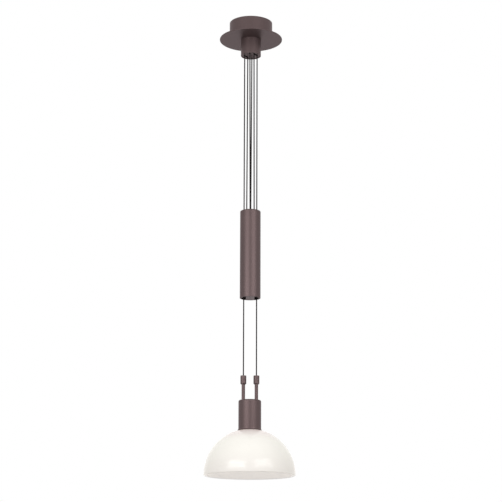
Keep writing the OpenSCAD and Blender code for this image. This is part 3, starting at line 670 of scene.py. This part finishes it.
def turned(name, outline, material, closed=True, segments=180):
    """A mesh turned about Z from (radius, height) points."""
    start = bpy.data.meshes.new(name + "_outline")
    links = [(i, i + 1) for i in range(len(outline) - 1)]
    if closed:
        links.append((len(outline) - 1, 0))
    start.from_pydata([(r - 1.0, -z, 0.0) for r, z in outline], links, [])
    mesh = realised(name, start, TURNED_FORM, {"Segments": segments, "Material": material})
    outward(mesh, 40)
    return mesh


def arc(middle, radius, first, last, steps):
    """Points round a middle in the (radius, height) plane, angles in degrees from level."""
    for angle in np.radians(np.linspace(first, last, steps + 1)):
        yield middle[0] + radius * math.cos(angle), middle[1] + radius * math.sin(angle)


# ---- cords ----


def at_height(point, z):
    """The same point moved up or down to a height."""
    return Vector((point.x, point.y, z))


def line(start, end, step):
    """Points from start to end, about a step apart."""
    count = max(1, round((end - start).length / step))
    return [start.lerp(end, i / count) for i in range(count + 1)]


def half_turn(middle, start, up):
    """Points half round a pulley: over it where up is 1, under it where up is -1."""
    arm = start - middle
    return [
        middle + arm * math.cos(a) + Vector((0, 0, up * arm.length * math.sin(a)))
        for a in np.radians(np.linspace(0, 180, BEND_STEPS + 1))
    ]


def lamp_tail(top):
    """Points from the lampholder's terminal, leaning out to the stem, and up it to the fall."""
    radii, heights = corners("lamp_tails")
    foot_z = heights.min()
    lead = radii[heights < foot_z + NEAR].mean()
    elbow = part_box("lampholder_cap")[1].z + TAIL_ROOM
    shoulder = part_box("stem_left")[0].z - TAIL_ROOM
    away = at_height(top, 0).normalized()
    reach = at_height(top, 0).length
    sway = [
        away * (lead + (reach - lead) * (1 - math.cos(math.pi * i / SWAY_STEPS)) / 2)
        + Vector((0, 0, elbow + (shoulder - elbow) * i / SWAY_STEPS))
        for i in range(SWAY_STEPS + 1)
    ]
    foot = away * lead + Vector((0, 0, foot_z))
    return line(foot, sway[0], END_STEP)[:-1] + sway + line(sway[-1], top, TAIL_STEP)[1:]


def anchor_tail(top):
    """Points from the fall up through the ferrule, then over into the terminal block."""
    outward_angle = math.atan2(top.y, top.x)
    inward = outward_angle - math.acos(POLE_PITCH / at_height(top, 0).length) - math.pi / 2
    inward = Vector((math.cos(inward), math.sin(inward), 0))
    sleeve_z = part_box("anchor_tails")[1].z - CORD_R
    foot = at_height(top, sleeve_z - TAIL_BEND_R)
    bend = [
        foot
        + inward * (TAIL_BEND_R * (1 - math.cos(a)))
        + Vector((0, 0, TAIL_BEND_R * math.sin(a)))
        for a in np.radians(np.linspace(0, 90, BEND_STEPS // 2 + 1))
    ]
    terminal = bend[-1] + inward * (TAIL_REACH - TAIL_BEND_R)
    return line(top, foot, TAIL_STEP)[:-1] + bend + line(bend[-1], terminal, END_STEP)[1:]


def cord_runs(side):
    """One cord's pieces, from the lampholder to the terminal: name, bodies, node, points, blend."""
    rose = Vector(joints[f"rose_pulley_{side}_turn"]["pos_m"])
    weight = Vector(joints[f"weight_pulley_{side}_turn"]["pos_m"])

    def fall(node):
        low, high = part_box(f"{node}_{side}")
        return at_height((low + high) / 2, 0), low.z, high.z

    # The lamp's fall ends on the rose pulley's rim. Each end after that is the one before it,
    # mirrored about the middle of a pulley or of a fall.
    lamp_mid, tail_z, _ = fall("lamp_fall")
    return_mid, _, _ = fall("return_fall")
    anchor_mid, _, block_z = fall("anchor_fall")
    lamp_top = at_height(lamp_mid, rose.z)
    return_top = 2 * rose - lamp_top
    return_low = at_height(2 * return_mid - at_height(return_top, 0), weight.z)
    anchor_low = 2 * weight - return_low
    anchor_top = at_height(2 * anchor_mid - at_height(anchor_low, 0), block_z)

    def still(name, body, node, points):
        return f"{name}_{side}", [body], node, points, None

    def run(name, bodies, node, start, end):
        return [
            (
                f"{name}_{side}_{count}",
                bodies,
                f"{node}_{side}",
                line(start.lerp(end, low), start.lerp(end, high), FALL_STEP),
                (start.lerp(end, blend_low), start.lerp(end, blend_high)),
            )
            for count, (low, high, blend_low, blend_high) in enumerate(FALL_STRETCHES, 1)
        ]

    tail = lamp_tail(at_height(lamp_mid, tail_z))
    rose_loop = half_turn(rose, lamp_top, 1)
    weight_loop = half_turn(weight, return_low, -1)
    return [
        still("lamp_tail", "lamp", "lamp_tails", tail),
        *run("lamp_run", ["lamp", "rose"], "lamp_fall", tail[-1], lamp_top),
        still("rose_loop", "rose", "rose_bends", rose_loop),
        *run("return_run", ["rose", "counterweight"], "return_fall", return_top, return_low),
        still("weight_loop", "counterweight", "weight_bends", weight_loop),
        *run("anchor_run", ["counterweight", "rose"], "anchor_fall", anchor_low, anchor_top),
        still("anchor_tail", "rose", "anchor_tails", anchor_tail(anchor_top)),
    ]


def cord_rings(path):
    """A ring of corners round every point of a path, carried along it without a twist."""
    steps = np.diff(path, axis=0)
    heading = np.vstack([steps[:1], steps[:-1] + steps[1:], steps[-1:]])
    heading /= np.linalg.norm(heading, axis=1)[:, None]
    across = np.zeros_like(path)
    arm = np.cross(heading[0], ASLANT)
    for i, direction in enumerate(heading):
        arm = arm - direction * (arm @ direction)
        arm /= np.linalg.norm(arm)
        across[i] = arm
    beside = np.cross(heading, across)
    turn = np.linspace(0, 2 * math.pi, CORD_SIDES, endpoint=False)[:, None]
    return path[:, None] + CORD_R * (
        across[:, None] * np.cos(turn) + beside[:, None] * np.sin(turn)
    )


def braid_cord(side, material):
    """Draws one cord as pieces whose rings and braid carry on from each other."""
    runs = cord_runs(side)
    path = [runs[0][3][0]] + [point for run in runs for point in run[3][1:]]
    path = np.array([tuple(point) for point in path])
    lengths = np.linalg.norm(np.diff(path, axis=0), axis=1)
    along = np.concatenate([[0.0], np.cumsum(lengths)])
    rings = cord_rings(path)
    first = 0
    for name, bodies, node, points, blend in runs:
        last = first + len(points) - 1
        mesh = cord_mesh(name, rings[first : last + 1], along[first : last + 1])
        mesh.materials.append(material)
        body = None if blend else bodies[0]
        piece = new_piece(name, mesh, body, "braided_cord", node)
        if blend:
            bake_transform(piece)
        first = last


def cord_mesh(name, rings, along):
    """A tube through the rings, its UV the turn round the cord and the length along it."""
    count = len(rings)
    sides = CORD_SIDES
    faces, uv = [], []
    for i in range(count - 1):
        for k in range(sides):
            after = (k + 1) % sides
            faces.append(
                (i * sides + k, i * sides + after, (i + 1) * sides + after, (i + 1) * sides + k)
            )
            low, high = k / sides, (k + 1) / sides
            uv += [(low, along[i]), (high, along[i]), (high, along[i + 1]), (low, along[i + 1])]
    for start, order, v in ((0, -1, along[0]), ((count - 1) * sides, 1, along[-1])):
        faces.append(tuple(range(start, start + sides))[::order])
        uv += [(0.5, v)] * sides
    mesh = bpy.data.meshes.new(name)
    mesh.from_pydata(rings.reshape(-1, 3), [], faces)
    layer = mesh.uv_layers.new(name="braid")
    layer.data.foreach_set("uv", np.array(uv).ravel())
    mesh.shade_smooth()
    mesh.set_sharp_from_angle(angle=math.radians(60))
    return mesh


# ---- pieces that are drawn here ----


def blow_shade():
    """The half-round opal shade, its fitting hole and rim fire-polished."""
    radii, heights = corners("glass_shade")
    radius, hole, rim = radii.max(), radii.min(), heights.min()
    centre = heights.max() - math.sqrt(radius**2 - hole**2)
    inner = radii[np.abs(heights - centre) < NEAR].min()
    wall = radius - inner
    top = math.degrees(math.acos((hole + GLASS_LIP) / radius))
    under = math.degrees(math.acos((hole + GLASS_LIP) / inner))
    outline = [
        *arc((0, centre), radius, top, 0, GLASS_STEPS),
        *arc((radius - wall / 2, rim + wall / 2), wall / 2, 0, -180, 12),
        *arc((0, centre), inner, 0, under, GLASS_STEPS),
        (hole, centre + inner * math.sin(math.radians(under)) + GLASS_LIP),
        (hole, centre + radius * math.sin(math.radians(top)) - GLASS_LIP),
    ]
    outer_glass = opal_glass("opal_glass", centre, True)
    inner_glass = opal_glass("opal_glass_inside", centre, False)
    mesh = turned("shade_glass", outline, outer_glass, segments=240)
    mesh.materials.append(inner_glass)
    for face in mesh.polygons:  # all but the outer skin is glass seen from inside
        middle = Vector(face.center)
        flat = math.hypot(middle.x, middle.y)
        out = flat if middle.z < centre else math.hypot(flat, middle.z - centre)
        face.material_index = int(out < radius - wall * 0.6)
    new_piece("shade_glass", mesh, "lamp", "opal_glass", "glass_shade")


def spin_cup(material):
    """The lamp cup: a deep drawn cup with a rounded top and a lip that flares over the glass."""
    radii, heights = corners("lamp_cup")
    top, lip = heights.max(), heights.min()
    lip_r = radii.max()
    cup_r = radii[heights > lip + CUP_FLARE + NEAR].max()
    inner_r = radii[np.abs(heights - lip - CUP_FLARE) < NEAR].min()
    wall = cup_r - inner_r
    curl = 2 * CUP_LIP_R
    flared = [
        (
            cup_r + (lip_r - cup_r) * (1 - math.sin(a)),
            lip + curl + (CUP_FLARE - curl) * (1 - math.cos(a)),
        )
        for a in np.linspace(0, math.pi / 2, 13)
    ]
    outline = [
        (0.0, top),
        *arc((cup_r - CUP_EDGE_R, top - CUP_EDGE_R), CUP_EDGE_R, 90, 0, 12),
        *flared[::-1],
        *arc((lip_r - CUP_LIP_R, lip + CUP_LIP_R), CUP_LIP_R, 30, -90, 4),
        (lip_r - wall, lip),
        (inner_r, lip + CUP_FLARE),
        *arc((cup_r - CUP_EDGE_R, top - CUP_EDGE_R), CUP_EDGE_R - wall, 0, 90, 8),
        (0.0, top - wall),
    ]
    mesh = turned("cup_shell", outline, material, closed=False)
    new_piece("cup_shell", mesh, "lamp", "bronze_paint", "lamp_cup")


def blow_bulb():
    """A frosted lamp bulb: a round head that draws in to its neck in one smooth curve."""
    radii, heights = corners("bulb_glass")
    head = radii.max()
    low, high = heights.min(), heights.max()
    neck = radii[heights > high - NEAR].max()
    centre = low + head
    join = math.radians(BULB_JOIN)
    leave = Vector((head * math.cos(join), centre + head * math.sin(join)))
    slope = Vector((-math.sin(join), math.cos(join)))
    arrive = Vector((neck, high))
    pull = (high - leave.y) * 0.55  # how far each end keeps its direction
    curve = interpolate_bezier(
        leave, leave + slope * pull * 0.8, arrive - Vector((0, pull)), arrive, 21
    )
    shoulder = [(point.x, point.y) for point in curve[1:]]
    outline = [*arc((0, centre), head, -90, BULB_JOIN, 40), *shoulder, (0.0, high)]
    mesh = turned("bulb_bowl", outline, frosted_bulb(centre, head), closed=False, segments=96)
    new_piece("bulb_bowl", mesh, "lamp", "frosted_bulb", "bulb_glass")


def roll_thread(material):
    """The round thread rolled into the bulb's screw base, up to where its cone starts."""
    radii, heights = corners("bulb_base")
    wall = radii.max()
    low = heights.min() + THREAD_PITCH
    high = heights[radii > wall - NEAR].max()
    mesh = realised(
        "base_thread",
        bpy.data.meshes.new("thread_start"),
        screw_thread(),
        {
            "Radius": wall - THREAD_BEAD / 2,
            "Pitch": THREAD_PITCH,
            "Turns": (high - low) / THREAD_PITCH,
            "Depth": THREAD_BEAD,
            "Base": (0.0, 0.0, low),
            "Material": material,
        },
    )
    outward(mesh, 60)
    new_piece("base_thread", mesh, "lamp", "bulb_metal")


# ---- stage and light ----


def white_room():
    """Even light from all round, white where it is seen."""
    world = bpy.data.worlds.new("white_room")
    scene.world = world
    world.use_nodes = True
    t = Tree(world.node_tree)
    t.tree.nodes.clear()
    strength = t.mixed(t.seen_rays(), ROOM_LIGHT, 1.0)
    room = t.add("ShaderNodeBackground", {}, {"Color": WHITE, "Strength": strength})
    end = t.add("ShaderNodeOutputWorld", {}, {"Surface": room.outputs[0]})
    end.is_active_output = True


def lay_floor():
    """A pale floor far below that fades into the white, and isn't there from underneath."""
    mesh = bpy.data.meshes.new("floor")
    sides = ((-1, -1), (1, -1), (1, 1), (-1, 1))
    ends = [(x * FLOOR_REACH, y * FLOOR_REACH, FLOOR_Z) for x, y in sides]
    mesh.from_pydata(ends, [], [(0, 1, 2, 3)])
    floor = bpy.data.objects.new("floor", mesh)
    scene.collection.objects.link(floor)
    f = Finish("floor")
    screed = f.mixed(f.noise(f.place, 2.0), colour(231, 231, 230), colour(236, 235, 234))
    f.set({"Base Color": screed, "Roughness": 0.9})
    white = f.add("ShaderNodeEmission", {}, {"Color": WHITE, "Strength": 1.0})
    clear = f.add("ShaderNodeBsdfTransparent", {}, {})
    east, north, _ = f.axes(f.place)
    away = (east * east + north * north).of("SQRT").between(1.0, 5.5)
    whitened = f.seen_rays() * f.mixed(away, 0.8, 1.0)
    behind = f.add("ShaderNodeNewGeometry", {}, {}).outputs["Backfacing"]
    pale = f.blended(whitened, f.surface, white)
    seen = f.blended(behind, pale, clear)
    f.put(f.tree.nodes["Material Output"].inputs["Surface"], seen.outputs[0])
    mesh.materials.append(f.material)


def soft_box(name, height, watts, turn, z):
    """A rectangular lamp in front of the pendant, aimed at its middle."""
    light = bpy.data.lights.new(name, "AREA")
    light.shape = "RECTANGLE"
    light.size = BOX_WIDTH
    light.size_y = height
    light.energy = watts
    box = bpy.data.objects.new(name, light)
    scene.collection.objects.link(box)
    place = Matrix.Rotation(math.radians(turn), 3, "Z") @ Vector((0, -BOX_AWAY, z))
    box.location = place
    box.rotation_euler = (BOX_AIM - place).to_track_quat("-Z", "Y").to_euler()


# ---- the pendant ----

FINISHES = {
    make.__name__: make()
    for make in (
        bronze_paint,
        plated_steel,
        die_cast_zinc,
        spring_steel,
        brass,
        cast_iron,
        nylon,
        porcelain,
        black_plastic,
        black_rubber,
        bulb_metal,
        braided_cord,
    )
}

set_camera()
for side in ("left", "right"):
    braid_cord(side, FINISHES["braided_cord"])

TURNED_FORM = turned_form()
blow_shade()
spin_cup(FINISHES["bronze_paint"])
blow_bulb()
roll_thread(FINISHES["bulb_metal"])

for part in frame["record"]["subparts"]:
    node = frame["nodes"][part["node"]]
    if part["material_slot"] in FINISHES:
        node.data.materials.clear()
        node.data.materials.append(FINISHES[part["material_slot"]])

white_room()
lay_floor()
soft_box("left_box", height=0.75, watts=20, turn=-34, z=-0.445)
soft_box("right_box", height=0.8, watts=17, turn=36, z=-0.3)
scene.view_settings.view_transform = "Standard"
